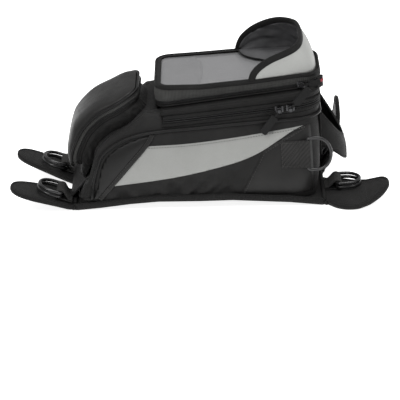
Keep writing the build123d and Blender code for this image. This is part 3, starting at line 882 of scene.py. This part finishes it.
def make_hood():
    count = 120
    base, edge = smooth(HOOD_BASE, count), smooth(HOOD_EDGE, count)

    def hood_at(u, v, in_by=0.0):
        i = min(int(u * (count - 1)), count - 2)
        t = u * (count - 1) - i
        a, b = mix(base[i], base[i + 1], t), mix(edge[i], edge[i + 1], t)
        p = mix(a, b, v)
        way = Vector(base[min(i + 3, count - 1)] - base[max(i - 3, 0)])
        rise = Vector(edge[i] - base[i]) if np.linalg.norm(edge[i] - base[i]) > 2 else Vector((0, 0, 1))
        normal = way.cross(rise).normalized()
        tall = min(float(np.linalg.norm(b - a)) / 40, 1)
        bow = 3.5 * math.sin(math.pi * v) * tall
        fold = 0.0
        if in_by:
            wide = 4.5 * noise.noise(Vector((u * 11, v * 2.2, 1.0)))
            narrow = 2.5 * noise.noise(Vector((u * 25, v * 5, 4)))
            fold = min(tall * (wide + narrow), 1.2)
        return Vector(p) + normal * (bow - in_by * min(tall * 3, 1) + fold), normal

    def squashed(made):
        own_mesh(made)

    # The hood's lighter silver cloth is painted light on a panel that faces up.
    outer = cloth("hood_cloth", lambda u, v: hood_at(u, v)[0] * MM, (119, 14), (370, 50), HOOD_SILVER_PAINTED_LIGHT,
                  centre=(90, 0, 180), wall=1.4, lining=LINING)
    show(outer, "pocket_lid", "reflective", "hood_panel")
    squashed(outer)
    inner = cloth("hood_lining", lambda u, v: hood_at(u, v * 0.9, 3.0)[0] * MM, (119, 14), (360, 50), LINING,
                  centre=(90, 0, 180), wall=0.8)
    show(inner, "pocket_lid", "lining", "hood_gussets")
    squashed(inner)
    normals = [hood_at(u, 0.93)[1] for u in np.linspace(0, 1, 150)]
    free_edge = []
    for u in np.linspace(0, 0.9999, 150):
        i = int(u * (count - 1))
        free_edge.append(Vector(mix(edge[i], edge[i + 1], u * (count - 1) - i)) - Vector((0, 0, 1.5)))
    tape = binding("hood_edge_tape", free_edge, normals, 5.4, 9.5, RIBBED, swell=2.6)
    show(tape, "pocket_lid", "binding", "hood_binding")
    squashed(tape)
    rear = smooth([(60, 66), (62, 58), (68, 38), (80, 22), (96, 8), (108, -20), (110, -64)], 30)
    front = smooth([(142, -64), (162, -40), (165, 0), (162, 40), (142, 64)], 24)
    outline = list(map(tuple, rear)) + list(map(tuple, front))

    def lay(x, y, out):
        rise = 1.6 * noise.noise(Vector((x / 20, y / 24, 7.7)))
        return at(x, y, top_z(x, y) + 1.4 + max(out + rise * out / 2.0, 0))
    floor = panel("hood_lining_floor", outline, lay, LINING, step=5.0, puff=2.4, edge=7, wall=0.7,
                  centre=(60, 0, 0))
    show(floor, "pocket_lid", "lining")
    back_edge = [Vector((x, y, top_z(x, y) + 2.0)) for x, y in rear]
    show(cording("hood_lining_hem", back_edge, 1.1, CORDING), "pocket_lid", "binding")


# ---- rear pouch -------------------------------------------------------------------------
# The cover's seam in X and Z, its rise over the share of the seam, and the seam again at even steps.
POUCH_SEAM = [(-170, 52), (-170.5, 68), (-165, 84), (-153, 105), (-133, 124), (-110, 136.5), (-92, 147),
              (-79, 153.5)]
POUCH_RISE = [(0, 3), (0.15, 7), (0.35, 12.5), (0.55, 12), (0.75, 9), (0.9, 6), (1, 3)]
POUCH_STEPS = 120
POUCH_LINE = smooth(POUCH_SEAM, POUCH_STEPS)


def pouch_frame(s):
    """Seam point, way along the seam, and outward normal, in the XZ plane, at share s of its length."""
    f = min(max(s, 0), 1) * (POUCH_STEPS - 1.001)
    i = int(f)
    p = mix(POUCH_LINE[i], POUCH_LINE[i + 1], f - i)
    way = POUCH_LINE[min(i + 3, POUCH_STEPS - 1)] - POUCH_LINE[max(i - 3, 0)]
    way = way / np.hypot(*way)
    return p, way, np.array([-way[1], way[0]])


def pouch_half(s):
    half = 60.0 - 3.0 * math.sin(math.pi * min(s * 1.25, 1))
    half -= corner_cut((1 - s) * POUCH_LENGTH, POUCH_FRONT_ROUND)
    return half - corner_cut(s * POUCH_LENGTH, POUCH_REAR_ROUND)


def shoulder(d, r, power=2.3):
    """Height share of a rounded edge, from 0 at the edge to 1 at r inside it."""
    return (1 - (1 - min(max(d / r, 0), 1)) ** power) ** (1 / power)


def pouch_top(u, v, share, under):
    """Point of the cover's crowned top, or of its flat underside."""
    s = eased(v)
    half = pouch_half(s)
    y = math.sin((u - 0.5) * math.pi) * half
    p, way, out = pouch_frame(s)
    shape = shoulder(half - abs(y), 27)
    shape = shape * shoulder((1 - s) * POUCH_LENGTH, 24) * shoulder(s * POUCH_LENGTH, 22)
    rise = along(POUCH_RISE, s) * share * shape
    if under:
        rise = -2.0 * shape
    return at(p[0] + out[0] * rise, y, p[1] + out[1] * rise)


def inflate(made, pinned, pressure, cap):
    """Cloth simulation of a stuffed cover: air pressure, no gravity, and a limit on each point's move."""
    rest = [v.co.copy() for v in made.data.vertices]
    group = made.vertex_groups.new(name="sewn")
    group.add(pinned, 1.0, "REPLACE")
    layer = made.modifiers.new("air", "CLOTH")
    layer.settings.use_pressure = True
    layer.settings.uniform_pressure_force = pressure
    layer.settings.vertex_group_mass = "sewn"
    layer.settings.quality = 6
    layer.settings.tension_stiffness = 18
    layer.settings.bending_stiffness = 1.2
    layer.settings.effector_weights.gravity = 0
    layer.collision_settings.use_self_collision = False
    scene = bpy.context.scene
    for step in range(1, 21):
        scene.frame_set(step)
    seen = made.evaluated_get(bpy.context.evaluated_depsgraph_get())
    moved = [v.co.copy() for v in seen.data.vertices]
    made.modifiers.remove(layer)
    for v, old, new in zip(made.data.vertices, rest, moved):
        move = new - old
        if move.length > cap * MM:
            move = move.normalized() * cap * MM
        v.co = old + move
    made.vertex_groups.remove(group)
    scene.frame_set(1)


def make_pouch():
    bm = bmesh.new()
    for under in (False, True):
        made = bmesh.ops.create_grid(bm, x_segments=54, y_segments=54, size=0.5)
        for v in made["verts"]:
            v.co = pouch_top(v.co.x + 0.5, v.co.y + 0.5, 0.94, under)
    bmesh.ops.remove_doubles(bm, verts=bm.verts, dist=0.2 * MM)
    bmesh.ops.recalc_face_normals(bm, faces=bm.faces)
    bm.verts.ensure_lookup_table()
    cover = piece("pouch_cover_pad", bm, LEATHER)
    tops = set()
    for v in cover.data.vertices:
        p = v.co / MM
        near = min(float(np.hypot(p.x - q[0], p.z - q[1])) for q in POUCH_LINE[::4])
        side = 57.5 - abs(p.y)
        if near > 3.5 and side > 1.0:
            tops.add(v.index)
    pinned = [v.index for v in cover.data.vertices if v.index not in tops]
    inflate(cover, pinned, 4.0, 5.0)
    soften = cover.modifiers.new("soften", "SUBSURF")
    soften.levels = soften.render_levels = 1
    show(cover, "pouch_lid", "leatherette", "pouch_cover")

    foot = smooth([(-157, 24), (-151, 40), (-140.5, 60), (-133, 81), (-115, 96), (-91, 108), (-72, 124),
                   (-63, 126)], 100)

    def rim(depth, out, closed=True):
        """Line that follows the cover's outline, deeper by depth towards the deck."""
        side = []
        for t in np.linspace(0, 1, 90):
            s = eased(t)
            p, way, normal = pouch_frame(s)
            bend = min(max((s - 0.8) / 0.2, 0), 1)
            down = np.array([-normal[0] * (1 - bend), -normal[1] * (1 - bend) - bend])
            down = down / np.hypot(*down)
            half = pouch_half(s)
            ahead = min(max((1 - s) * POUCH_LENGTH / POUCH_FRONT_ROUND, 0), 1)
            fat = out + 4.0 * (1 - ahead) * math.sin(math.pi * min(depth / 24, 1))
            push = Vector((fat * (1 - ahead), -out * (0.3 + 0.7 * ahead) - 0.3 * (fat - out)))
            side.append(Vector((p[0] + down[0] * depth + push.x, -half + push.y, p[1] + down[1] * depth)))
        last = side[-1]
        front = [Vector((last.x, y, last.z)) for y in np.linspace(last.y, 0, 14)[1:]]
        right = side + front
        left = [Vector((q.x, -q.y, q.z)) for q in right[::-1][1:]]
        line = right + left
        if closed:
            a, b = line[-1], line[0]
            line = line + [a.lerp(b, t) for t in np.linspace(0, 1, 30)[1:]]
        return line

    piping = rim(1.0, 2.2)
    show(cording("pouch_piping_cord", piping[:-1], 2.0, CORDING, closed=True), "pouch_lid", "piping",
         "pouch_piping")
    upper = [rim(1.6, 1.0), rim(5.0, 1.8), rim(8.9, 0.8)]
    show(cloth("pouch_tape_upper", between(upper), (len(upper[0]) - 1, 4), (420, 7), BAND,
               centre=(-100, 0, 100), wall=1.6), "pouch_lid", "zip_tape", "pouch_zip_upper")
    lower = [rim(8.9, 0.4), rim(12, 1.2), rim(15.2, 0.6)]
    show(cloth("pouch_tape_lower", between(lower), (len(lower[0]) - 1, 4), (420, 7), TAPE,
               centre=(-100, 0, 100), wall=1.6), "bag", "zip_tape", "pouch_zip_lower")
    for name, depth, body in (("pouch_coil_upper", 7.9, "pouch_lid"), ("pouch_coil_lower", 9.9, "bag")):
        line = smooth(rim(depth, 1.3, False)[12:-12], 520)
        show(cording(name, line, 1.1, COIL, ribbed=0.3), body, "zip_tape")

    top = rim(14.8, 0.4)
    bottom = []
    for q in rim(15.5, -2.5):
        away = [(x - q.x) ** 2 + (z - 9 - q.z) ** 2 for x, z in POUCH_LINE]
        share = away.index(min(away)) / (POUCH_STEPS - 1)
        x, z = foot[int(share * 99)]
        bottom.append(Vector((x, q.y, z)))
    rows = []
    for k in np.linspace(0, 1, 9):
        row = []
        for i, (a, b) in enumerate(zip(top, bottom)):
            sag = 1.8 * math.sin(math.pi * k) * (0.6 + noise.noise(Vector((i / 5.0, k * 2.4, 6.0))))
            base = min(max((62 - a.z) / 12, 0), 1)
            side = Vector((-6 * math.sin(math.pi * k) * base, math.copysign(sag * (1 - base), a.y), 0))
            row.append(a.lerp(b, k) + side)
        rows.append(row)
    show(cloth("pouch_gusset_cloth", between(rows), (len(top) - 1, 16), (460, 26), SOFT,
               centre=(-100, 0, 100), wall=1.4, lining=LINING), "bag", "shell_fabric", "pouch_tub")


# ---- flaps and rings --------------------------------------------------------------------
FRONT_PLAN = [(166, 20), (172, 20.5), (185, 23), (205, 33), (228, 49), (245, 63), (252, 82), (251, 104),
              (240, 121), (220, 133), (200, 135.5), (184, 127), (172, 111), (166, 107)]
REAR_PLAN = [(-167, 18), (-173, 18), (-190, 22), (-214, 32), (-238, 43), (-249, 54), (-252, 67), (-250.5, 81),
             (-242, 91), (-225, 93.5), (-196, 88.5), (-173, 84), (-167, 84)]


def tilt_about(x, z, angle):
    spot = Matrix.Translation((x, 0, z))
    return spot @ Matrix.Rotation(angle, 4, "Y") @ spot.inverted()


TURNED_UP = tilt_about(BASE_FRONT + FLAP_HINGE, 3.0, -RAISED)


def make_flap(name, side, front):
    """A strap flap; the front left one is turned up."""
    if front:
        plan, profile = FRONT_PLAN, [(160, 0.6), (186, 0.7), (210, 1.4), (226, 5), (240, 11), (256, 20)]
        turn = TURNED_UP if side > 0 else Matrix.Identity(4)
        centre, hinge = (205, side * 80, -300), BASE_FRONT + FLAP_HINGE
    else:
        plan = REAR_PLAN
        profile = [(-258, 32), (-215, 16.6), (-190, 7.4), (-176, 2), (-160, 0.6)]
        turn = Matrix.Identity(4)
        centre, hinge = (-205, side * 60, -300), BASE_REAR - FLAP_HINGE
    if front and side > 0:
        centre = tuple(turn @ Vector(centre))
    outline = smooth([(x, side * y) for x, y in plan], 90, closed=True)

    def on_flap(x, y, lift):
        return turn @ Vector((x, y, along(profile, x) + lift))
    sheet = panel(f"{name}_flap_cloth", [tuple(q) for q in outline],
                  lambda x, y, out: on_flap(x, y, 4.6 + out) * MM, SOFT, step=5.0, puff=0.9, edge=8, wall=4.2,
                  centre=centre, backing=RIBBED)
    free = [abs(x) > abs(hinge) - 2 for x, y in outline]
    first = next(i for i in range(len(outline)) if free[i] and not free[i - 1])
    run = [outline[(first + i) % len(outline)] for i in range(sum(free))]
    line = [on_flap(x, y, 2.6) for x, y in run]
    middle = np.mean(run, 0)
    out = [turn.to_3x3() @ n for n in plan_normals(run)]
    edge = binding(f"{name}_flap_edge_tape", line, out, 4.6, 6.0, RIBBED, swell=2.4)

    def row(inset):
        spots = [np.array(q) + (middle - q) / np.hypot(*(middle - q)) * inset for q in run]
        spots = [q for q in spots if abs(q[0]) > abs(hinge) + 4]
        return [on_flap(x, y, 5.5) for x, y in spots]
    across = 232 if front else -240
    span = (66, 118) if front else (52, 84)
    across -= math.copysign(9, across)
    pocket = [(across, y * side) for y in np.linspace(span[0] - 12, span[1] + 6, 20)]
    up = turn.to_3x3() @ Vector((0, 0, 1))
    rows = [row(5.5), [on_flap(x, y, 5.5) for x, y in pocket]]
    thread = stitching(f"{name}_flap_stitches", [(spots, [up] * len(spots)) for spots in rows], THREAD)
    far = turn @ Vector((hinge + math.copysign(11, hinge), 0, 3))
    near = turn @ Vector((hinge - math.copysign(3, hinge), 0, 3))
    for made, stands_for in ((sheet, [f"{name}_flap"]), (edge, []), (thread, [])):
        bend(made, f"{name}_flap", "base_fabric", near * MM, far * MM, *stands_for)


def ring_path(lift):
    """Centre line of a D-ring in its own frame: bar along Y, arch towards +X."""
    half, reach = RING_HALF - WIRE / 2, RING_REACH - WIRE / 2
    arch = [(12 + (reach - 12) * math.sin(a), -half * math.cos(a)) for a in np.linspace(0, math.pi, 26)]
    path = [(0, half - 4), (1.2, half - 1.2), (4, half)] + arch[::-1]
    path += [(4, -half), (1.2, -half + 1.2), (0, -half + 4)]
    bar = [(0, y) for y in np.linspace(-half + 6, half - 6, 6)]
    return [Vector((x, y, lift)) for x, y in path + bar]


def strap_loop(name, seat, radius, tail, width, body, *stands_for, drop=0.0):
    """Webbing that passes round a ring's bar and is sewn down behind it."""
    r = radius - 1.0
    turn = [(r * math.sin(a), -r * math.cos(a)) for a in np.linspace(0, math.pi * 1.2, 14)]
    path = [(-tail, -r - 0.1), (-tail / 2, -r - 0.1)] + turn + [(-r - 5.1, -r + 3.4), (-r - 8.5, -r + 2.1),
                                                               (-tail + 1, -r + 2.0)]
    path = smooth(path, 60)

    def place(u, v):
        f = u * 58.999
        i = int(f)
        x, z = mix(path[i], path[i + 1], f - i)
        y = (v - 0.5) * width
        return seat @ Vector((x, y, z - drop * abs(x) / tail)) * MM
    loop = cloth(name, place, (59, 12), (2 * tail + 20, width), WEBBING, centre=tuple(seat.translation),
                 wall=1.9, into=0.0)
    show(loop, body, "webbing", *stands_for)
    top, edge = -r + 3.1, width / 2 - 2.5
    back = -tail + 2
    front = -r - 5
    corners = [(back, -edge), (front, -edge), (front, edge), (back, edge), (back, -edge), (front, edge)]
    rows = []
    for (x0, y0), (x1, y1) in zip(corners[:-1], corners[1:]):
        spots = [seat @ Vector((mix(x0, x1, t), mix(y0, y1, t), top)) for t in np.linspace(0, 1, 8)]
        rows.append((spots, [seat.to_3x3() @ Vector((0, 0, 1))] * 8))
    show(stitching(name + "_stitches", rows, THREAD, pitch=2.8, length=2.0), body, "webbing")


def make_rings():
    slope = math.atan2(29.5, 80.8)
    for name, side, front in (("front_right", -1, True), ("front_left", 1, True), ("rear_right", -1, False),
                              ("rear_left", 1, False)):
        make_flap(name, side, front)
        if front:
            seat = Matrix.Translation((186, side * 52, 12.8))
            if side > 0:
                seat = TURNED_UP @ seat
        else:
            seat = Matrix.Translation((-186.53, side * 58, 20.11)) @ Matrix.Rotation(math.pi, 4, "Z")
            seat = seat @ Matrix.Rotation(-slope, 4, "Y")
        strap_loop(f"{name}_ring_webbing", seat, 6.9, 18, 36, f"{name}_flap", f"{name}_flap_loop")
        for where, lift in (("lower", -2.6), ("upper", 2.6)):
            path = [seat @ q for q in ring_path(lift)]
            show(cording(f"{name}_d_ring_{where}", path, WIRE / 2, RING_BLACK, closed=True),
                 f"{name}_rings", "ring", f"{name}_ring_{where}")
    lean = math.atan2(21, 125)
    for name, side in (("right", -1), ("left", 1)):
        turn = Matrix.Rotation(side * (lean - math.pi / 2), 4, "X")
        seat = Matrix.Translation((147, side * 99.81, 69)) @ turn
        stands = ["side_webbings"] if side < 0 else []
        strap_loop(f"{name}_side_webbing", seat, 4.6, 36, 36, "bag", *stands, drop=0.6)
        path = [seat @ q for q in ring_path(0)]
        show(cording(f"{name}_side_d_ring", path, WIRE / 2, RING_BLACK, closed=True), f"{name}_side_ring",
             "ring", f"{name}_side_ring")


# ---- front handle -----------------------------------------------------------------------
def make_handle():
    end = HANDLE_HALF - 0.4

    def place(u, v):
        y = mix(-end, end, eased(u))
        t = (1 - (y / HANDLE_HALF) ** 2) ** 0.7
        curl = 2.2 * math.sin(math.pi * v) - 4 * v * t
        return at(HANDLE_WALL + HANDLE_REACH * t + curl, y, mix(62 - 12 * t - 22 * t * t, 119 - 54 * t, v))
    strap = cloth("handle_strap", place, (50, 10), (140, 44), DARK_NYLON_PAINTED_SHADE, centre=(100, 0, 80), wall=3.0)
    sewn, free = (0.166, 0, 0.08), (0.182, 0, 0.08)
    bend(strap, "handle", "webbing", sewn, free, "front_handle")
    rows = []
    for edge in (0.07, 0.93):
        spots = [place(u, edge) / MM + Vector((0.8, 0, 0)) for u in np.linspace(0.02, 0.98, 50)]
        rows.append((spots, [Vector((1, 0, 0.2))] * 50))
    bend(stitching("handle_stitches", rows, THREAD), "handle", "webbing", sewn, free)
    wall = section(80)[1]
    for name, side, stands_for in (("right", -1, ["handle_anchors"]), ("left", 1, [])):
        def lay(u, v):
            return at(wall + 4.6 + 0.5 * math.sin(math.pi * u), side * mix(end, 63.5, u), mix(54, 112, v))
        patch = cloth(f"handle_anchor_{name}", lay, (8, 14), (14, 35), RIBBED, centre=(100, 0, 80), wall=2.4)
        show(patch, "bag", "webbing", *stands_for)


# ---- zip sliders, pulls, tab ------------------------------------------------------------
def dress(made, material):
    made.data.materials.clear()
    made.data.materials.append(material)


def make_fittings():
    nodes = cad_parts
    for name in ("rear_main", "front_main", "pocket", "pouch"):
        slider, pull = nodes[f"{name}_slider"], nodes[f"{name}_pull"]
        for made, material in ((slider, GUNMETAL), (pull, RED_RUBBER if name == "pouch" else RUBBER)):
            dress(made, material)
            weld = made.modifiers.new("weld", "WELD")
            weld.merge_threshold = 0.00002
            edge = made.modifiers.new("edge", "BEVEL")
            edge.width = 0.0005
            edge.segments = 2
            edge.limit_method = "ANGLE"
        low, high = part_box(f"{name}_slider")
        centre = (low + high) / 2 / MM
        out = high.y / MM - 3.0 if name == "pouch" else low.y / MM + 3.0
        ring = [Vector((centre.x + 3.4 * math.cos(a), out, centre.z + 3.4 * math.sin(a)))
                for a in np.linspace(0, 2 * math.pi, 24, endpoint=False)]
        show(cording(f"{name}_slider_ring", ring, 0.7, GUNMETAL, closed=True), f"{name}_pull", "slider")
    dress(nodes["base_stiffener"], BOARD)
    for name in ("front_right", "front_left", "rear_right", "rear_left"):
        dress(nodes[f"{name}_flap_magnet"], IRON)
    turn = Matrix.Translation((167.5, -60.5, 157.5)) @ Matrix.Rotation(math.radians(-35), 4, "Z")

    def tab(u, v):
        a = u * 2 * math.pi
        x = 2.2 * math.copysign(abs(math.cos(a)) ** 0.6, math.cos(a))
        y = 7.5 * math.copysign(abs(math.sin(a)) ** 0.7, math.sin(a))
        return turn @ Vector((x, y, mix(-8, 7, v))) * MM
    tape = cloth("pocket_tab_tape", tab, (24, 8), (34, 15), RIBBED, centre=(167.5, -60.5, 157.5), wall=1.4)
    show(tape, "lid", "binding", "pocket_tab")

    def mark(u, v):
        return turn @ Vector((2.75, mix(-5.5, 5.5, u), mix(-1, 3, v))) * MM
    show(cloth("pocket_tab_mark", mark, (6, 3), (11, 4), FELT, centre=(150, -50, 153), wall=0.4), "lid",
         "binding")


# ---- camera, floor, light ---------------------------------------------------------------
def make_studio():
    scene = bpy.context.scene
    scene.view_settings.view_transform = "Standard"
    rise, lean, distance, drop = math.radians(18.0), math.radians(3.0), 3.3, 0.120
    middle = Vector((0.0056, 0.0, 0.1027))
    tilt = Matrix.Rotation(lean, 3, "Y")
    back = tilt @ Vector((0, -math.cos(rise), math.sin(rise)))
    up = tilt @ Vector((0, math.sin(rise), math.cos(rise)))
    place = middle + back * distance
    look = (middle - up * drop - place).normalized()
    across = look.cross(up).normalized()
    up = across.cross(look)
    data = bpy.data.cameras.new("camera")
    data.sensor_width = 36.0
    data.lens = 36.0 * distance / 0.5456
    data.clip_start, data.clip_end = 0.1, 50.0
    camera = bpy.data.objects.new("camera", data)
    turn = Matrix((across, up, -look)).transposed().to_4x4()
    camera.matrix_world = Matrix.Translation(place) @ turn
    scene.collection.objects.link(camera)
    scene.camera = camera

    bm = bmesh.new()
    bmesh.ops.create_grid(bm, x_segments=1, y_segments=1, size=8.0)
    for v in bm.verts:
        v.co.z = -0.0005
    pale = finish_of("pale_floor", (0.85, 0.85, 0.85), 0.9, on="Object", vary=0.01, depth=0.0)
    shader = pale.node_tree.nodes["Principled BSDF"]
    shader.inputs["Emission Color"].default_value = (1, 1, 1, 1)
    shader.inputs["Emission Strength"].default_value = 0.86
    floor = piece("floor", bm, pale)
    world = bpy.data.worlds.new("studio")
    scene.world = world
    world.use_nodes = True
    world.node_tree.nodes["Background"].inputs["Color"].default_value = (1, 1, 1, 1)
    world.node_tree.nodes["Background"].inputs["Strength"].default_value = 0.36
    for name, spot, size, power in (("key", (-0.9, -1.3, 2.1), 1.2, 32), ("top", (0.5, 0.3, 2.4), 1.2, 36),
                                    ("fill", (1.7, -1.0, 1.1), 1.0, 9), ("rear", (-1.6, 1.2, 1.0), 1.2, 3)):
        light = bpy.data.lights.new(name, "AREA")
        light.energy = power
        light.size = size
        lamp = bpy.data.objects.new(name, light)
        lamp.location = spot
        lamp.rotation_euler = (Vector((0, 0, 0.1)) - Vector(spot)).to_track_quat("-Z", "Y").to_euler()
        scene.collection.objects.link(lamp)


make_base()
make_shell()
make_panels()
make_piping()
make_zip_and_lid()
make_pocket()
make_hood()
make_pouch()
make_rings()
make_handle()
make_fittings()
make_studio()
